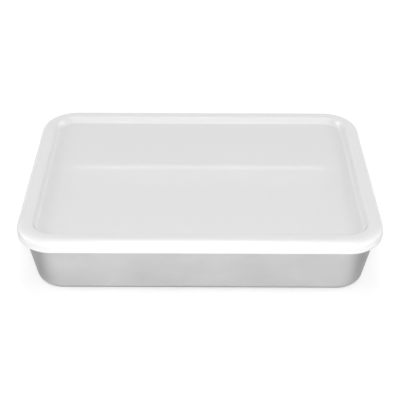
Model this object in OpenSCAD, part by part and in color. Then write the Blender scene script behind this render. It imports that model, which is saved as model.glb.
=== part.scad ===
// Rectangular cake pan of drawn stainless sheet with a translucent lid that presses on.
// Millimetres, +Z up. The origin is at the middle of the underside.

/* [Pan] */
// Length inside the mouth, along X
mouth_l = 334; // [240:1:420]
// Width inside the mouth, along Y
mouth_w = 233; // [160:1:320]
// Depth inside, from the floor to the top of the rim
depth = 63; // [40:0.5:90]
// Radius inside the upright corners, at the mouth
corner_r = 36.5; // [30:0.5:60]
// Lean of the walls outward from upright, in degrees
wall_lean = 10; // [4:0.1:14]
// Radius inside the bend from the floor to the walls
floor_r = 9.2; // [4:0.2:14]
// Thickness of the sheet
sheet_t = 0.6; // [0.4:0.1:1]

/* [Rolled rim] */
// Radius inside the rolled edge
roll_r = 0.5; // [0.4:0.05:0.8]
// Straight length of the rolled edge, outside the wall
roll_leg = 1.8; // [1:0.1:3]

/* [Lid] */
// Wall thickness of the lid
lid_t = 1.2; // [0.8:0.1:1.6]
// Height of the lid from the bottom of its skirt to its raised band
lid_h = 12; // [10.5:0.5:15]
// Width of the raised band, from the skirt's face to the edge of the recess
band_w = 12.6; // [10.6:0.2:18]
// Depth of the centre panel below the band
recess_d = 5.8; // [4:0.1:8]
// Lean of the recess wall from upright, in degrees
step_lean = 30; // [5:1:45]
// Radius over the edge of the recess
lip_r = 1.8; // [1.7:0.1:2.5]
// Radius where the recess wall meets the centre panel
foot_r = 3; // [1:0.1:4]
// Radius of the slow outer curve of the band
crown_r = 12; // [6:0.5:14]
// How far the slow curve turns down before the shoulder, in degrees
crown_turn = 28; // [20:1:40]
// Radius of the shoulder, from the band down to the skirt
shoulder_r = 4.5; // [3.6:0.1:5.4]

/* [Bead of the skirt] */
// Height of the bead along the bottom of the skirt
bead_h = 4.2; // [2.5:0.1:5]
// How far the bead stands out from the skirt
bead_out = 0.4; // [0.2:0.1:0.8]

/* [Fit of the lid] */
// Gap between the rolled rim and the inside of the skirt
side_gap = 0.4; // [0.15:0.05:0.6]
// How much tighter the lid's corners are than the rim's own curve
corner_ease = 5; // [0:0.5:6]

/* [Hidden] */
$fn = 96;

// The rebuild reads rotations with six digits, and most angles lose some length by
// that. The neat angle is the one near the given angle that keeps its length best.
function six(x) = round(x * 1e6) / 1e6;
function loss(angle) = abs(pow(six(cos(angle)), 2) + pow(six(sin(angle)), 2) - 1);
function neat(angle) =
    let (tries = [for (k = [-60:60]) angle + k / 1000])
    let (least = min([for (t = tries) loss(t)]))
    [for (t = tries) if (loss(t) == least) t][0];

// The rolled rim
roll_out = roll_r + sheet_t;
roll_z = sheet_t + depth - roll_out;

// The walls rise from the floor's bend to the roll
wall_turn = 90 - neat(wall_lean);
wall_run = (depth - (floor_r + roll_out) * (1 - cos(wall_turn))) / sin(wall_turn);
floor_run = corner_r - wall_run * cos(wall_turn) - floor_r * sin(wall_turn);
roll_reach = roll_out * (1 + sin(wall_turn));

// The skirt stands off the roll, and the shoulder's centre is level with the roll's
skirt_reach = roll_reach + side_gap + lid_t;
lid_corner_r = corner_r + skirt_reach - corner_ease;
slow_turn = neat(crown_turn);
shoulder_w = crown_r * sin(slow_turn) + shoulder_r * (1 - sin(slow_turn));
shoulder_h = crown_r * (1 - cos(slow_turn)) + shoulder_r * cos(slow_turn);
lid_z = roll_z + shoulder_h;

// The step from the band down to the centre panel
step_turn = 90 - neat(step_lean);
step_run = (recess_d - (foot_r + lip_r) * (1 - cos(step_turn))) / sin(step_turn);
step_w = (foot_r + lip_r) * sin(step_turn) + step_run * cos(step_turn);
panel_run = lid_corner_r - band_w - step_w;

// The skirt ends in a full round as thick as the bead
hem_r = (lid_t + bead_out) / 2;
skirt_run = lid_h - shoulder_h - hem_r;

// The plane's part from straight down to angle, anticlockwise, up to 90 degrees
module wedge(size, angle) {
    intersection() {
        translate([0, -size]) square(size);
        rotate(angle) translate([-size, -size]) square(size);
    }
}

// A strip is drawn along a guide line that starts at the origin towards +X, with
// the strip's thickness t to the right of it. What follows starts at its far end.
module straight(length, t) {
    translate([0, -t]) square([length, t]);
    translate([length, 0]) children();
}

// The strip turns left, with radius r on its guide line
module bend_left(r, angle, t) {
    translate([0, r]) {
        intersection() {
            difference() {
                circle(r + t);
                circle(r);
            }
            wedge(2 * (r + t), angle);
        }
        rotate(angle) translate([0, -r]) children();
    }
}

// The strip turns right, with radius r on its guide line
module bend_right(r, angle, t) {
    translate([0, -r]) {
        intersection() {
            difference() {
                circle(r);
                circle(r - t);
            }
            mirror([0, 1]) wedge(2 * r, angle);
        }
        rotate(-angle) translate([0, r]) children();
    }
}

// Carries a section round a rectangle of l by w with round corners. The section's X
// is measured outward from the corners' centres, and its Y is the height.
module carry_round(l, w) {
    corners = [[l, w] / 2, [-l, w] / 2, [-l, -w] / 2, [l, -w] / 2];
    for (k = [0:3])
        translate(corners[k]) rotate(90 * k) {
            rotate_extrude(angle = 90) children();
            rotate([90, 0, 0]) linear_extrude(k % 2 == 0 ? w : l) children();
        }
}

// Fills the rectangle inside the carried section
module core_plate(l, w, t, top) {
    translate([-l / 2, -w / 2, top - t]) cube([l, w, t]);
}

// Floor, bend, wall and rolled edge of the pan as one strip of sheet
module pan_section() {
    translate([0, sheet_t])
        straight(floor_run, sheet_t)
        bend_left(floor_r, wall_turn, sheet_t)
        straight(wall_run, sheet_t)
        bend_right(roll_out, wall_turn, sheet_t)
        bend_right(roll_out, 90, sheet_t)
        straight(roll_leg, sheet_t)
        bend_right(roll_out, 90, sheet_t);
}

module pan() {
    core_l = mouth_l - 2 * corner_r;
    core_w = mouth_w - 2 * corner_r;
    color("silver") {
        core_plate(core_l, core_w, sheet_t, sheet_t);
        carry_round(core_l, core_w) pan_section();
    }
}

// The bead stands out of the skirt's face, and its bottom edge is a full round
module skirt_bead() {
    bead_run = bead_h - hem_r;
    translate([-bead_run + bead_out, 0]) {
        square([bead_run - bead_out, bead_out]);
        intersection() {
            circle(bead_out);
            translate([-bead_out, 0]) square(bead_out);
        }
    }
    translate([0, bead_out - hem_r]) intersection() {
        circle(hem_r);
        translate([0, -hem_r]) square([hem_r, 2 * hem_r]);
    }
}

// Panel, step, band, shoulder and skirt of the lid as one moulded wall
module lid_section() {
    translate([0, lid_z - recess_d])
        straight(panel_run, lid_t)
        bend_left(foot_r, step_turn, lid_t)
        straight(step_run, lid_t)
        bend_right(lip_r, step_turn, lid_t)
        straight(band_w - shoulder_w, lid_t)
        bend_right(crown_r, slow_turn, lid_t)
        bend_right(shoulder_r, 90 - slow_turn, lid_t)
        straight(skirt_run, lid_t)
        skirt_bead();
}

module lid() {
    core_l = mouth_l + 2 * skirt_reach - 2 * lid_corner_r;
    core_w = mouth_w + 2 * skirt_reach - 2 * lid_corner_r;
    color("white") {
        core_plate(core_l, core_w, lid_t, lid_z - recess_d);
        carry_round(core_l, core_w) lid_section();
    }
}

pan();
lid();
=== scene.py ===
"""Dresses the packed cake pan: the pressed steel pan, the moulded lid and the studio round them.

Lengths are metres in the packed part's frame, with +Z up and the camera on the -Y side.
"""

from math import ceil, cos, pi, radians, sin

import bmesh
import bpy
from bpy.props import FloatProperty, FloatVectorProperty, PointerProperty
from mathutils import Matrix, Vector


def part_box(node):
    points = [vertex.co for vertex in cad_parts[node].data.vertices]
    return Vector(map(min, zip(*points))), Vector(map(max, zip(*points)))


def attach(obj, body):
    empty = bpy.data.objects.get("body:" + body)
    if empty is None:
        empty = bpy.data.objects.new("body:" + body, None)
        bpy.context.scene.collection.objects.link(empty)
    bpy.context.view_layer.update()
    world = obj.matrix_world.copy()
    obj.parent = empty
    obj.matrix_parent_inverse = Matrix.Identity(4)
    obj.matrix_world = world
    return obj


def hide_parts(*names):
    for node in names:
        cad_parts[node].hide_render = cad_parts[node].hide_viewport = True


bl_info = {
    "name": "Lidded Cake Pan",
    "version": (1, 0, 0),
    "blender": (4, 5, 0),
    "location": "View3D > Sidebar > Cake Pan",
    "description": "Models a pressed steel cake pan with a translucent lid, and a studio to show it in",
    "category": "Mesh",
}

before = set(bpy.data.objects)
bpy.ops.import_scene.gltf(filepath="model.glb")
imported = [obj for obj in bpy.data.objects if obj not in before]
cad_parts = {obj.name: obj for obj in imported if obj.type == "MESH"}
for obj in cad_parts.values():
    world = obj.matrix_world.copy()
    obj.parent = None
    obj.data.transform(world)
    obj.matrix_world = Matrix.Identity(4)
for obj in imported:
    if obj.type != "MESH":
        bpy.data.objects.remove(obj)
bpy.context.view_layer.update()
LID_LOW, LID_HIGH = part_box("lid")

# The widest turn between two points of a section, and the turn between those of a corner
SECTION_STEP = radians(7.5)
CORNER_STEP = radians(2.5)
# Narrow strips beside each bend keep the shading of the flats flat
EASE = 0.0003
# Points closer than this are one point
MERGE = 0.000002
SHARP_ANGLE = radians(40)

# Over this width the frosting of the lid's panel ends
FROST_EDGE = 0.0005
# Noises, as cycles per metre along X, Y and Z and levels of detail
STEEL_CLOUDS = ((28, 28, 40), 3)
STEEL_GRAIN = ((60, 60, 1800), 2)
PLASTIC_CLOUDS = ((18, 18, 18), 2)
PLASTIC_TEXTURE = ((1400, 1400, 1400), 1)
# The darkest and palest clouds of the steel, as shares of its colour
STEEL_TONES = (0.89, 1.11)
# How much each noise changes the roughness
STEEL_CLOUD_ROUGHNESS = 0.08
STEEL_GRAIN_ROUGHNESS = 0.05
PLASTIC_CLOUD_ROUGHNESS = 0.06
# Strength and depth of the fine reliefs
GRAIN_RELIEF = {"Strength": 0.12, "Distance": 0.00004}
TEXTURE_RELIEF = {"Strength": 0.1, "Distance": 0.00003}

WHITE = (1, 1, 1)
FLOOR_HALF_SIZE = 12
# The floor's glow where it is seen, near the pan and far off, and the distances between which it rises
NEAR_GLOW = (0.48, 0.48, 0.48)
FAR_GLOW = (0.8, 0.8, 0.8)
GLOW_START = 0.4
GLOW_RISE = 0.8
# The strip lamp stands below the lid's band, so that it lights the skirt and not the recess
FILL_HEIGHT = 0.038
# Name, place, size and the setting with the power of each lamp
LAMPS = (
    ("top_lamp", (0, 0.05, 2.0), (0.6, 0.3), "top"),
    ("front_lamp", (0, -2.2, 1.85), (2.0, 1.0), "front"),
    ("left_lamp", (-2.2, 0, 0.8), (1.0, 0.5), "side"),
    ("right_lamp", (2.2, 0, 0.8), (1.0, 0.5), "side"),
    ("gleam_lamp", (0, -0.8, 2.1), (1.4, 0.1), "gleam"),
    ("fill_lamp", (0, -0.7, FILL_HEIGHT), (0.5, 0.05), "fill"),
)
# Each side card is a painted reflection: it glows grey or white, only gloss sees it, and the steel's
# front corners mirror its grey as darkness. It starts beside a front corner of the pan and is turned
# outward about that point
CARD_START = Vector((0.131, -0.1095, 0.0002))
CARD_LEAN = radians(33)
CARD_HALF_SIZE = 0.2
CARD_MIDDLE = (0.1, 0.2, 0)
# The grey of the painted reflection, which darkens the steel's corners
REFLECTION_GREY = (0.56, 0.56, 0.56)
# It darkens over the first part behind its front edge, and pales again before a distance from its start
CARD_EDGE = 0.031
CARD_LIMIT = 0.19
CARD_FADE = 0.11
# The contact card is a painted contact shadow that only gloss sees, mirrored as a dark line in the
# steel's bend. It is smaller than the mouth by its inset on each side
CONTACT_INSET = 0.0105
CONTACT_HEIGHT = 0.0003
CONTACT_CORNER = 0.0255
CONTACT_SEGMENTS = 12
CONTACT_SHADOW_GREY = (0.32, 0.32, 0.32)


def length(name, description, default):
    """A length in metres that the sidebar shows."""
    return FloatProperty(
        name=name, description=description, default=default, min=0, precision=5, unit="LENGTH"
    )


def angle(name, description, degrees):
    """An angle that the sidebar shows in degrees."""
    return FloatProperty(name=name, description=description, default=radians(degrees), subtype="ANGLE")


def share(name, description, default):
    """A number from 0 to 1."""
    return FloatProperty(
        name=name, description=description, default=default, min=0, max=1, subtype="FACTOR"
    )


def power(name, description, default):
    """A lamp's power in watts."""
    return FloatProperty(name=name, description=description, default=default, min=0, unit="POWER")


def colour(name, description, default):
    """A linear colour."""
    return FloatVectorProperty(
        name=name, description=description, default=default, min=0, max=1, subtype="COLOR"
    )


class PanSettings(bpy.types.PropertyGroup):
    """Sizes and finish of the pressed pan."""

    mouth_length: length("Mouth length", "Length inside the mouth, along X", 0.334)
    mouth_width: length("Mouth width", "Width inside the mouth, along Y", 0.233)
    depth: length("Depth", "From the floor to the top of the rim", 0.063)
    corner_radius: length("Corner radius", "Inside the upright corners, at the mouth", 0.0365)
    wall_lean: angle("Wall lean", "Lean of the walls outward from upright", 10)
    floor_radius: length("Floor radius", "Inside the bend from the floor to the walls", 0.0092)
    sheet: length("Sheet", "Thickness of the steel sheet", 0.0006)
    roll_radius: length("Roll radius", "Inside the rolled edge", 0.0005)
    roll_leg: length("Roll leg", "Straight length of the rolled edge, outside the wall", 0.0018)
    steel: colour("Steel", "Colour of the bare sheet", (0.535, 0.535, 0.535))
    roughness: share("Roughness", "Roughness of the satin sheet", 0.36)


class LidSettings(bpy.types.PropertyGroup):
    """Sizes and finish of the moulded lid."""

    wall: length("Wall", "Thickness of the moulded wall", 0.0012)
    band: length("Band", "Width of the raised band, from the skirt's face to the recess", 0.0126)
    recess: length("Recess", "Depth of the centre panel below the band", 0.0058)
    step_lean: angle("Step lean", "Lean of the recess wall from upright", 30)
    lip_radius: length("Lip radius", "Over the edge of the recess", 0.0018)
    foot_radius: length("Foot radius", "Where the recess wall meets the centre panel", 0.003)
    crown_radius: length("Crown radius", "The slow outer curve of the band", 0.012)
    crown_turn: angle("Crown turn", "How far the slow curve turns down before the shoulder", 28)
    shoulder_radius: length("Shoulder radius", "From the band down to the skirt", 0.0045)
    bead: length("Bead", "Height of the bead along the bottom of the skirt", 0.0042)
    bead_out: length("Bead out", "How far the bead stands out from the skirt", 0.0004)
    side_gap: length("Side gap", "Between the rolled rim and the inside of the skirt", 0.0004)
    corner_ease: length("Corner ease", "How much tighter the lid's corners are than the rim's", 0.005)
    plastic: colour("Plastic", "Colour of the milky plastic", (0.93, 0.93, 0.93))
    roughness: share("Roughness", "Roughness of the band and the skirt", 0.18)
    frosting: share("Frosting", "Roughness of the frosted centre panel", 0.5)
    milkiness: share("Milkiness", "Light that the band and the skirt let through spread out", 0.25)
    clearness: share("Clearness", "Light that the band and the skirt let straight through", 0.04)
    panel_clearness: share("Panel clearness", "Light that the centre panel lets straight through", 0.22)


class StudioSettings(bpy.types.PropertyGroup):
    """Camera, lamps and background."""

    lens: FloatProperty(
        name="Lens", description="Focal length on the 36 mm sensor", default=82.55, unit="CAMERA"
    )
    position: FloatVectorProperty(
        name="Position",
        description="Where the camera stands",
        default=(-0.00155, -0.7743, 0.57561),
        unit="LENGTH",
    )
    pitch: angle("Pitch", "How far the camera looks down", 35.122)
    yaw: angle("Yaw", "How far the camera turns towards +X", 0.108)
    roll: angle("Roll", "How far the camera leans", 0.282)
    floor: colour("Floor", "Colour of the floor", (0.6, 0.6, 0.6))
    sky: share("Sky", "Strength of the light from all round", 0.54)
    top: power("Top", "Power of the small lamp overhead", 6.2)
    front: power("Front", "Power of the large lamp in front", 22)
    side: power("Side", "Power of each low lamp at the sides", 10.5)
    gleam: power("Gleam", "Power of the strip lamp overhead that only gloss shows", 24)
    fill: power("Fill", "Power of the low strip lamp in front", 1.8)


class Pen:
    """Draws a section in the XZ plane of a bmesh, by extruding and spinning its last point."""

    def __init__(self, mesh, x, z):
        self.mesh = mesh
        self.tip = mesh.verts.new((x, 0, z))
        self.heading = 0

    def towards(self, side=0):
        return Vector((cos(self.heading + side), 0, sin(self.heading + side)))

    def turn(self, angle):
        self.heading += angle

    def move(self, distance):
        self.tip = bmesh.ops.extrude_vert_indiv(self.mesh, verts=[self.tip])["verts"][0]
        bmesh.ops.translate(self.mesh, verts=[self.tip], vec=self.towards() * distance)

    def line(self, distance):
        if distance <= 0:
            raise ValueError("The sizes leave no room for a straight part of the section")
        ease = min(EASE, distance / 4)
        for part in (ease, distance - 2 * ease, ease):
            self.move(part)

    def arc(self, radius, angle):
        """Turns by angle, to the left where it is positive."""
        if radius <= 0:
            raise ValueError("The sizes leave no radius for a bend of the section")
        centre = self.tip.co + self.towards(pi / 2 if angle > 0 else -pi / 2) * radius
        swept = bmesh.ops.spin(
            self.mesh,
            geom=[self.tip],
            cent=centre,
            axis=(0, -1, 0),
            angle=angle,
            steps=ceil(abs(angle) / SECTION_STEP),
        )
        self.tip = next(v for v in swept["geom_last"] if isinstance(v, bmesh.types.BMVert))
        self.turn(angle)

    def walk(self, moves):
        for name, *values in moves:
            getattr(self, name)(*values)


def way_back(moves, wall):
    """The moves along the wall's other side, from its far end back to its start."""
    back = []
    for name, *values in reversed(moves):
        if name == "arc":
            radius, turned = values
            values = [radius + wall if turned > 0 else radius - wall, -turned]
        back.append((name, *values))
    return back


def carry_round(mesh, half_length, half_width):
    """Carries the section round a rectangle whose corners are its start, and closes the middle."""
    if min(half_length, half_width) <= EASE:
        raise ValueError("The corners leave no straight side between them")
    corners = ((1, 1), (-1, 1), (-1, -1), (1, -1))
    ends = mesh.verts[:] + mesh.edges[:]
    bmesh.ops.translate(mesh, verts=mesh.verts[:], vec=(half_length, half_width, 0))
    for quarter, (x, y) in enumerate(corners):
        centre = (x * half_length, y * half_width, 0)
        swept = bmesh.ops.spin(
            mesh, geom=ends, cent=centre, axis=(0, 0, 1), angle=pi / 2, steps=round(pi / 2 / CORNER_STEP)
        )
        ends = swept["geom_last"]
        run = 2 * (half_width if quarter % 2 else half_length)
        along = Matrix.Rotation(pi / 2 * (quarter + 2), 3, "Z") @ Vector((1, 0, 0))
        for part in (EASE, run - 2 * EASE, EASE):
            edges = [item for item in ends if isinstance(item, bmesh.types.BMEdge)]
            ends = [
                item
                for item in bmesh.ops.extrude_edge_only(mesh, edges=edges)["geom"]
                if not isinstance(item, bmesh.types.BMFace)
            ]
            points = [item for item in ends if isinstance(item, bmesh.types.BMVert)]
            bmesh.ops.translate(mesh, verts=points, vec=along * part)
    bmesh.ops.remove_doubles(mesh, verts=mesh.verts[:], dist=MERGE)
    bmesh.ops.holes_fill(mesh, edges=[e for e in mesh.edges if e.is_boundary], sides=0)
    bmesh.ops.recalc_face_normals(mesh, faces=mesh.faces[:])
    if not all(edge.is_manifold for edge in mesh.edges):
        raise ValueError("The shell isn't closed")


def make_object(mesh, name, material):
    """Makes an object of the bmesh."""
    data = bpy.data.meshes.new(name)
    mesh.to_mesh(data)
    mesh.free()
    data.materials.append(material)
    made = bpy.data.objects.new(name, data)
    bpy.context.collection.objects.link(made)
    return made


def finish_piece(mesh, name, material, body, node):
    """Makes a piece of the bmesh, which stands for a packed node and rides on its body."""
    piece = make_object(mesh, name, material)
    piece.data.shade_smooth()
    piece.data.set_sharp_from_angle(angle=SHARP_ANGLE)
    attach(piece, body)
    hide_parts(node)


class Wire:
    """A shader socket, on which Python's operators add Math nodes."""

    def __init__(self, graph, socket):
        self.graph = graph
        self.socket = socket

    def maths(self, operation, first, second):
        return self.graph.add("Math", {"operation": operation}, {0: first, 1: second})

    def __add__(self, other):
        return self.maths("ADD", self, other)

    def __radd__(self, other):
        return self.maths("ADD", other, self)

    def __sub__(self, other):
        return self.maths("SUBTRACT", self, other)

    def __rsub__(self, other):
        return self.maths("SUBTRACT", other, self)

    def __mul__(self, other):
        return self.maths("MULTIPLY", self, other)

    def __rmul__(self, other):
        return self.maths("MULTIPLY", other, self)

    def __truediv__(self, other):
        return self.maths("DIVIDE", self, other)

    def __rtruediv__(self, other):
        return self.maths("DIVIDE", other, self)

    def __pow__(self, other):
        return self.maths("POWER", self, other)

    def __rpow__(self, other):
        return self.maths("POWER", other, self)

    def __abs__(self):
        return self.graph.add("Math", {"operation": "ABSOLUTE"}, {0: self})

    def at_least(self, other):
        return self.maths("MAXIMUM", self, other)

    def clamped(self):
        return self.graph.add("Clamp", {}, {"Value": self})


class Graph:
    """The nodes of a material or of the world."""

    def __init__(self, owner):
        owner.use_nodes = True
        self.tree = owner.node_tree
        self.tree.nodes.clear()

    def add(self, kind, settings=(), values=(), output=0):
        """Adds a node, sets its settings, then sets or links its sockets."""
        node = self.tree.nodes.new("ShaderNode" + kind)
        for name, value in dict(settings).items():
            setattr(node, name, value)
        for name, value in dict(values).items():
            if isinstance(value, Wire):
                self.tree.links.new(value.socket, node.inputs[name])
            else:
                node.inputs[name].default_value = value
        return Wire(self, node.outputs[output]) if node.outputs else None

    def axis(self, name):
        """One Object coordinate."""
        return self.add("SeparateXYZ", {}, {"Vector": self.add("TexCoord", output="Object")}, name)

    def noise(self, scale, detail):
        """Noise on Object coordinates, with scale as cycles per metre along each axis."""
        place = self.add("TexCoord", output="Object")
        place = self.add("Mapping", {}, {"Vector": place, "Scale": scale})
        return self.add("TexNoise", {}, {"Vector": place, "Scale": 1, "Detail": detail})

    def blend(self, factor, first, second):
        """The colour that goes from first to second as factor goes from 0 to 1."""
        return self.add("Mix", {"data_type": "RGBA"}, {0: factor, 6: (*first, 1), 7: (*second, 1)}, 2)

    def relief(self, height, sizes):
        return self.add("Bump", {}, {"Height": height, **sizes})

    def seen(self):
        """1 where a ray comes from the camera, from gloss or through glass, and 0 elsewhere."""
        kinds = ("Camera", "Glossy", "Transmission")
        camera, glossy, transmission = [self.add("LightPath", output=f"Is {kind} Ray") for kind in kinds]
        either = camera + glossy + transmission
        return self.add("Math", {"operation": "MINIMUM"}, {0: either, 1: 1})

    def finish(self, surface, kind="Material"):
        self.add("Output" + kind, {}, {"Surface": surface})


def steel_material(pan):
    """Satin stainless sheet: faint clouds from the mill, and a fine level grain."""
    material = bpy.data.materials.new("satin_steel")
    graph = Graph(material)
    clouds = graph.noise(*STEEL_CLOUDS)
    grain = graph.noise(*STEEL_GRAIN)
    dark, pale = ([channel * tone for channel in pan.steel] for tone in STEEL_TONES)
    rough = STEEL_CLOUD_ROUGHNESS * (clouds - 0.5) + STEEL_GRAIN_ROUGHNESS * (grain - 0.5)
    surface = graph.add(
        "BsdfPrincipled",
        {},
        {
            "Base Color": graph.blend(clouds, dark, pale),
            "Metallic": 1,
            "Roughness": pan.roughness + rough,
            "Normal": graph.relief(grain, GRAIN_RELIEF),
        },
    )
    graph.finish(surface)
    return material


def lid_material(lid, half_length, half_width, panel_run):
    """Milky plastic that shows the pan faintly, with a frosted panel.

    The panel ends panel_run from the corners' centres. Its frost is on top, and its underside is clear.
    """
    material = bpy.data.materials.new("milky_plastic")
    graph = Graph(material)
    over_x = (abs(graph.axis("X")) - half_length).at_least(0)
    over_y = (abs(graph.axis("Y")) - half_width).at_least(0)
    reach = (over_x**2 + over_y**2) ** 0.5
    panel = ((panel_run - reach) / FROST_EDGE + 0.5).clamped()
    middle = LID_HIGH.z - lid.recess - lid.wall / 2
    underside = panel * ((middle - graph.axis("Z")) / FROST_EDGE + 0.5).clamped()
    texture = graph.noise(*PLASTIC_TEXTURE)
    clouds = graph.noise(*PLASTIC_CLOUDS)
    frosted = lid.roughness + (lid.frosting - lid.roughness) * panel
    tone = (*lid.plastic, 1)
    skin = graph.add(
        "BsdfPrincipled",
        {},
        {
            "Base Color": tone,
            "Roughness": frosted + PLASTIC_CLOUD_ROUGHNESS * (clouds - 0.5),
            "Normal": graph.relief(texture, TEXTURE_RELIEF),
        },
    )
    milk = graph.add("BsdfTranslucent", {}, {"Color": tone})
    body = graph.add("MixShader", {}, {0: lid.milkiness * (1 - panel), 1: skin, 2: milk})
    clear = graph.add("BsdfTransparent", {}, {"Color": (*WHITE, 1)})
    through = lid.clearness + (lid.panel_clearness - lid.clearness) * panel
    through = through + (1 - through) * underside
    graph.finish(graph.add("MixShader", {}, {0: through, 1: body, 2: clear}))
    return material


def rim_sizes(pan):
    """The roll's outer radius, the height of its centre, and how far it reaches outside the mouth."""
    roll = pan.roll_radius + pan.sheet
    return roll, pan.sheet + pan.depth - roll, roll * (1 + cos(pan.wall_lean))


class CAKEPAN_OT_press_pan(bpy.types.Operator):
    """Presses the pan from one sheet: floor, leaning walls and rolled rim"""

    bl_idname = "cakepan.press_pan"
    bl_label = "Press the pan"

    def execute(self, context):
        pan = context.scene.cake_pan
        roll = rim_sizes(pan)[0]
        turn = pi / 2 - pan.wall_lean
        wall_run = (pan.depth - (pan.floor_radius + roll) * (1 - cos(turn))) / sin(turn)
        floor_run = pan.corner_radius - wall_run * cos(turn) - pan.floor_radius * sin(turn)
        moves = [
            ("line", floor_run),
            ("arc", pan.floor_radius, turn),
            ("line", wall_run),
            ("arc", roll, -turn),
            ("arc", roll, -pi / 2),
            ("line", pan.roll_leg),
            ("arc", roll, -pi / 2),
        ]
        cut_edge = [("turn", -pi / 2), ("move", pan.sheet), ("turn", -pi / 2)]
        half_length = pan.mouth_length / 2 - pan.corner_radius
        half_width = pan.mouth_width / 2 - pan.corner_radius
        mesh = bmesh.new()
        pen = Pen(mesh, 0, pan.sheet)
        pen.walk([*moves, *cut_edge, *way_back(moves, pan.sheet)])
        carry_round(mesh, half_length, half_width)
        finish_piece(mesh, "pan_shell", steel_material(pan), "pan_body", "pan")
        return {"FINISHED"}


class CAKEPAN_OT_mould_lid(bpy.types.Operator):
    """Moulds the lid: recessed panel, raised band, shoulder and beaded skirt"""

    bl_idname = "cakepan.mould_lid"
    bl_label = "Mould the lid"

    def execute(self, context):
        pan, lid = context.scene.cake_pan, context.scene.cake_pan_lid
        reach = rim_sizes(pan)[2] + lid.side_gap + lid.wall
        corner = pan.corner_radius + reach - lid.corner_ease
        slow, fast = lid.crown_turn, pi / 2 - lid.crown_turn
        shoulder_width = lid.crown_radius * sin(slow) + lid.shoulder_radius * (1 - sin(slow))
        shoulder_height = lid.crown_radius * (1 - cos(slow)) + lid.shoulder_radius * cos(slow)
        turn = pi / 2 - lid.step_lean
        bends = lid.foot_radius + lid.lip_radius
        step_run = (lid.recess - bends * (1 - cos(turn))) / sin(turn)
        panel_run = corner - lid.band - bends * sin(turn) - step_run * cos(turn)
        hem = (lid.wall + lid.bead_out) / 2
        skirt_run = LID_HIGH.z - LID_LOW.z - shoulder_height - hem
        bead_run = lid.bead - hem
        moves = [
            ("line", panel_run),
            ("arc", lid.foot_radius, turn),
            ("line", step_run),
            ("arc", lid.lip_radius, -turn),
            ("line", lid.band - shoulder_width),
            ("arc", lid.crown_radius, -slow),
            ("arc", lid.shoulder_radius, -fast),
        ]
        bead = [
            ("line", skirt_run - bead_run),
            ("turn", pi / 2),
            ("arc", lid.bead_out, -pi / 2),
            ("line", bead_run - lid.bead_out),
            ("arc", hem, -pi),
            ("line", skirt_run),
        ]
        half_length = pan.mouth_length / 2 + reach - corner
        half_width = pan.mouth_width / 2 + reach - corner
        mesh = bmesh.new()
        pen = Pen(mesh, 0, LID_HIGH.z - lid.recess)
        pen.walk([*moves, *bead, *way_back(moves, lid.wall)])
        carry_round(mesh, half_length, half_width)
        material = lid_material(lid, half_length, half_width, panel_run)
        finish_piece(mesh, "lid_shell", material, "lid_body", "lid")
        return {"FINISHED"}


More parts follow.
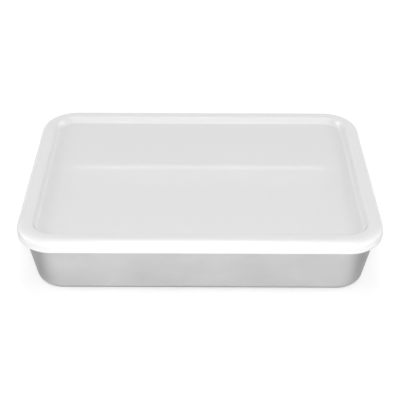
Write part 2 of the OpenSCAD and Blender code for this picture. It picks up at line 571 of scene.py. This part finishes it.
class CAKEPAN_OT_set_studio(bpy.types.Operator):
    """Sets the floor, the lamps, the world and the camera"""

    bl_idname = "cakepan.set_studio"
    bl_label = "Set the studio"

    def lamp(self, name, place, size, power):
        """A soft lamp that points at the lid, or level where it stands lower."""
        data = bpy.data.lights.new(name, "AREA")
        data.shape = "RECTANGLE"
        data.size, data.size_y = size
        data.energy = power
        lamp = bpy.data.objects.new(name, data)
        lamp.location = place
        aim = Vector((0, 0, min(place[2], LID_HIGH.z)))
        lamp.rotation_euler = (aim - lamp.location).to_track_quat("-Z", "Y").to_euler()
        bpy.context.collection.objects.link(lamp)
        lamp.visible_camera = False
        return lamp

    def lay_floor(self, studio):
        """A pale floor that takes the shadows, and glows where it is seen or mirrored."""
        material = bpy.data.materials.new("studio_floor")
        graph = Graph(material)
        matt = graph.add("BsdfDiffuse", {}, {"Color": (*studio.floor, 1)})
        distance = (graph.axis("X") ** 2 + graph.axis("Y") ** 2) ** 0.5
        far = ((distance - GLOW_START) / GLOW_RISE).clamped()
        glow = graph.blend(far, NEAR_GLOW, FAR_GLOW)
        lift = graph.add("Emission", {}, {"Color": glow, "Strength": graph.seen()})
        graph.finish(graph.add("AddShader", {}, {0: matt, 1: lift}))
        mesh = bmesh.new()
        bmesh.ops.create_grid(mesh, x_segments=2, y_segments=2, size=FLOOR_HALF_SIZE)
        floor = make_object(mesh, "studio_floor", material)

    def painted_reflection_card(self, name, side):
        """A glowing card beside the pan's front corner, grey in the middle and white round it, which
        only glossy rays see: a painted dark reflection in the steel's corners.
        """
        mesh = bmesh.new()
        bmesh.ops.create_grid(mesh, x_segments=1, y_segments=1, size=CARD_HALF_SIZE)
        turned = Matrix.Rotation(-CARD_LEAN, 3, "Z")
        bmesh.ops.translate(mesh, verts=mesh.verts[:], vec=CARD_MIDDLE)
        bmesh.ops.rotate(mesh, verts=mesh.verts[:], cent=(0, 0, 0), matrix=turned)
        bmesh.ops.translate(mesh, verts=mesh.verts[:], vec=CARD_START)
        bmesh.ops.scale(mesh, verts=mesh.verts[:], vec=(side, 1, 1))
        graph = self.lay_card(mesh, name)
        off_x = abs(graph.axis("X")) - CARD_START.x
        off_y = graph.axis("Y") - CARD_START.y
        front = ((off_x * sin(CARD_LEAN) + off_y * cos(CARD_LEAN)) / CARD_EDGE).clamped()
        near = ((CARD_LIMIT - (off_x**2 + off_y**2) ** 0.5) / CARD_FADE).clamped()
        # Painted reflection: the glow that the steel's corners mirror, grey behind the front edge and
        # white round it
        shade = graph.blend(front * near, WHITE, REFLECTION_GREY)
        graph.finish(graph.add("Emission", {}, {"Color": shade}))

    def contact_card(self, pan):
        """A dark glowing card under the walls' bend, which only glossy rays see: a painted contact
        shadow, for the dark line that steel shows where it meets the floor.
        """
        half_length = pan.mouth_length / 2 - CONTACT_INSET
        half_width = pan.mouth_width / 2 - CONTACT_INSET
        mesh = bmesh.new()
        bmesh.ops.create_grid(mesh, x_segments=1, y_segments=1, size=1)
        bmesh.ops.scale(mesh, verts=mesh.verts[:], vec=(half_length, half_width, 1))
        bmesh.ops.translate(mesh, verts=mesh.verts[:], vec=(0, 0, CONTACT_HEIGHT))
        bmesh.ops.bevel(
            mesh,
            geom=mesh.verts[:],
            offset=CONTACT_CORNER,
            segments=CONTACT_SEGMENTS,
            profile=0.5,
            affect="VERTICES",
        )
        graph = self.lay_card(mesh, "contact_card")
        # Painted shade: a flat dark grey glow that the bend mirrors, whatever light falls under the pan
        graph.finish(graph.add("Emission", {}, {"Color": (*CONTACT_SHADOW_GREY, 1)}))

    def lay_card(self, mesh, name):
        """Makes a card of the bmesh, which only glossy rays see, and begins its material."""
        bmesh.ops.recalc_face_normals(mesh, faces=mesh.faces[:])
        material = bpy.data.materials.new(name)
        card = make_object(mesh, name, material)
        card.visible_camera = False
        card.visible_diffuse = False
        card.visible_transmission = False
        card.visible_shadow = False
        return Graph(material)

    def light_sky(self, scene, studio):
        """White where it is seen or mirrored, and softer as a light."""
        scene.world = bpy.data.worlds.new("studio")
        graph = Graph(scene.world)
        strength = studio.sky + (1 - studio.sky) * graph.seen()
        sky = graph.add("Background", {}, {"Color": (*WHITE, 1), "Strength": strength})
        graph.finish(sky, "World")

    def place_camera(self, scene, studio):
        data = bpy.data.cameras.new("camera")
        data.lens = studio.lens
        camera = bpy.data.objects.new("camera", data)
        scene.collection.objects.link(camera)
        turned = (
            Matrix.Rotation(-studio.yaw, 4, "Z")
            @ Matrix.Rotation(pi / 2 - studio.pitch, 4, "X")
            @ Matrix.Rotation(studio.roll, 4, "Z")
        )
        camera.matrix_world = Matrix.Translation(studio.position) @ turned
        scene.camera = camera

    def execute(self, context):
        scene, studio = context.scene, context.scene.cake_pan_studio
        self.lay_floor(studio)
        # Painted reflections at the corners and a painted contact shadow under the bend, which only
        # gloss sees
        self.painted_reflection_card("left_card", -1)
        self.painted_reflection_card("right_card", 1)
        self.contact_card(scene.cake_pan)
        self.light_sky(scene, studio)
        for name, place, size, setting in LAMPS:
            lamp = self.lamp(name, place, size, getattr(studio, setting))
            if setting == "gleam":
                lamp.visible_diffuse = False
                lamp.visible_transmission = False
        self.place_camera(scene, studio)
        scene.view_settings.view_transform = "Standard"
        return {"FINISHED"}


GROUPS = {"cake_pan": PanSettings, "cake_pan_lid": LidSettings, "cake_pan_studio": StudioSettings}
OPERATORS = (CAKEPAN_OT_set_studio, CAKEPAN_OT_press_pan, CAKEPAN_OT_mould_lid)


class CAKEPAN_PT_sidebar(bpy.types.Panel):
    """Lists the sizes, the colours and the steps"""

    bl_idname = "CAKEPAN_PT_sidebar"
    bl_label = "Cake Pan"
    bl_space_type = "VIEW_3D"
    bl_region_type = "UI"
    bl_category = "Cake Pan"

    def draw(self, context):
        for operator in OPERATORS:
            self.layout.operator(operator.bl_idname)
        for name, group in GROUPS.items():
            box = self.layout.box()
            box.label(text=group.__doc__)
            for key in group.__annotations__:
                box.prop(getattr(context.scene, name), key)


def register():
    for item in (*GROUPS.values(), *OPERATORS, CAKEPAN_PT_sidebar):
        bpy.utils.register_class(item)
    for name, group in GROUPS.items():
        setattr(bpy.types.Scene, name, PointerProperty(type=group))


def unregister():
    for name in GROUPS:
        delattr(bpy.types.Scene, name)
    for item in (CAKEPAN_PT_sidebar, *OPERATORS, *GROUPS.values()):
        bpy.utils.unregister_class(item)


def main():
    register()
    bpy.ops.cakepan.set_studio()
    bpy.ops.cakepan.press_pan()
    bpy.ops.cakepan.mould_lid()


if __name__ == "__main__":
    main()
